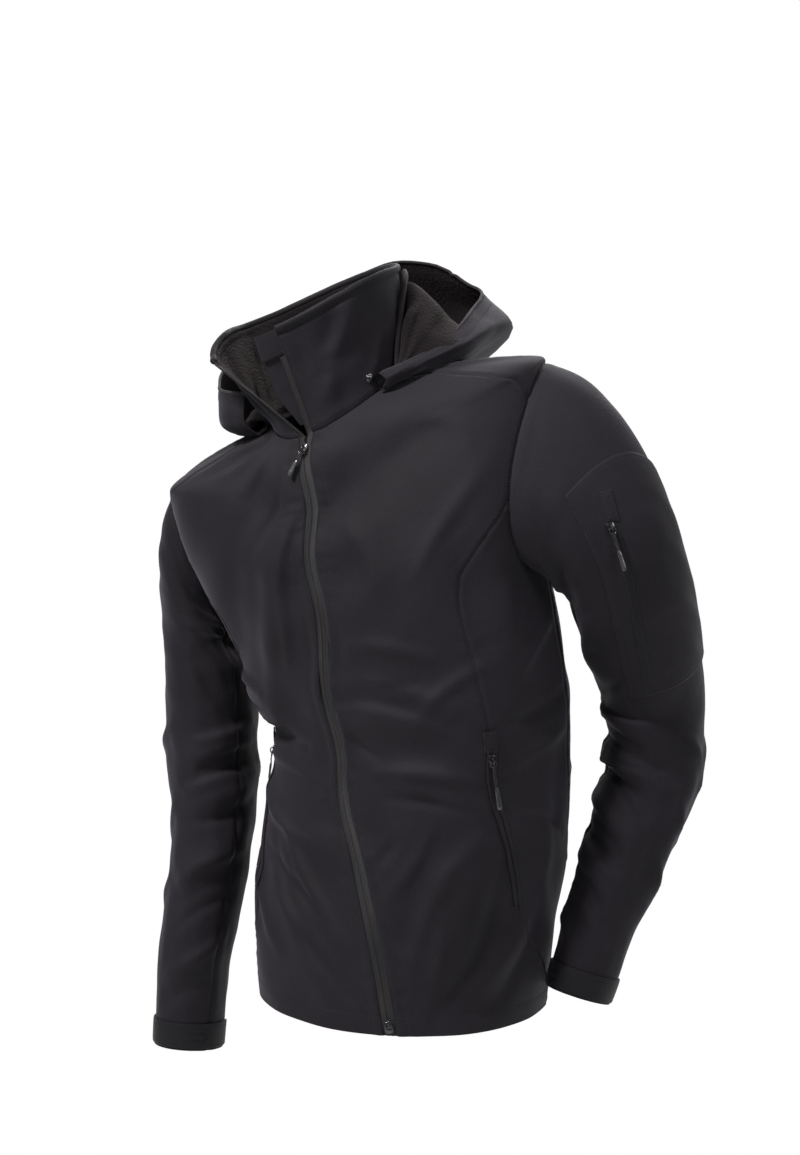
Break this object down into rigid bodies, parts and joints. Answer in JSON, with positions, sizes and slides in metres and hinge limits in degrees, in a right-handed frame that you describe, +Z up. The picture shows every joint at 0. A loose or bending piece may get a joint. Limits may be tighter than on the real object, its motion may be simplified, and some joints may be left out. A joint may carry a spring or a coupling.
{
  "type": "softshell jacket",
  "caption": "Softshell jacket as worn: stand collar open at the top, hood lying back, zipped front, hand pockets and sleeve pocket, tabbed cuffs; thin hollow cloth.",
  "frame": {"origin": "middle of the neck ring at the collar seam, where a wearer's neck and shoulders hold the jacket up", "axes": "+Z up as worn, -Y the front of the jacket, +X the wearer's left; the trunk leans a little towards the wearer's left as in the picture"},
  "size_m": [0.6238, 0.3618, 0.8979],
  "materials": {
    "shell": "matte woven softshell, near black",
    "zip_tape": "matte coil zip tape",
    "metal": "dark plated metal",
    "pull": "smooth grey moulded tip on black cord"
  },
  "bodies": {
    "jacket": {"front_centre_left": "shell", "front_side_left": "shell", "yoke_left": "shell", "front_centre_right": "shell", "front_side_right": "shell", "yoke_right": "shell", "back": "shell", "sleeve_top_left": "shell", "sleeve_under_left": "shell", "sleeve_top_right": "shell", "sleeve_under_right": "shell", "collar": "shell", "hood_left": "shell", "hood_centre": "shell", "hood_right": "shell", "front_zip_left": "zip_tape", "front_zip_right": "zip_tape", "inner_placket": "shell", "chin_guard": "shell", "pocket_zip_left": "zip_tape", "pocket_garage_left": "shell", "pocket_zip_right": "zip_tape", "pocket_garage_right": "shell", "sleeve_pocket_panel": "shell", "sleeve_zip": "zip_tape", "sleeve_garage": "shell", "cuff_tab_left": "shell", "cuff_tab_right": "shell", "front_slider": "metal", "pocket_left_slider": "metal", "pocket_right_slider": "metal", "sleeve_slider": "metal", "zip_box": "metal", "hood_snap_left": "metal", "hood_snap_right": "metal"},
    "front_pull": {"front_pull": "pull"},
    "pocket_left_pull": {"pocket_left_pull": "pull"},
    "pocket_right_pull": {"pocket_right_pull": "pull"},
    "sleeve_pull": {"sleeve_pull": "pull"}
  },
  "joints": [
    {"name": "front_pull_swing", "type": "hinge", "parent": "jacket", "child": "front_pull", "pos_m": [-0.00842, -0.08619, -0.05636], "axis": [-0.9268, 0.2283, 0.298], "range_deg": [0, 110]},
    {"name": "pocket_left_pull_swing", "type": "hinge", "parent": "jacket", "child": "pocket_left_pull", "pos_m": [0.21254, -0.08156, -0.38203], "axis": [-0.7721, -0.6206, -0.1367], "range_deg": [0, 110]},
    {"name": "pocket_right_pull_swing", "type": "hinge", "parent": "jacket", "child": "pocket_right_pull", "pos_m": [-0.09943, 0.01411, -0.4035], "axis": [-0.3227, 0.9187, 0.2278], "range_deg": [0, 110]},
    {"name": "sleeve_pull_swing", "type": "hinge", "parent": "jacket", "child": "sleeve_pull", "pos_m": [0.32257, -0.02329, -0.13639], "axis": [-0.8191, -0.504, -0.2738], "range_deg": [0, 110]}
  ]
}
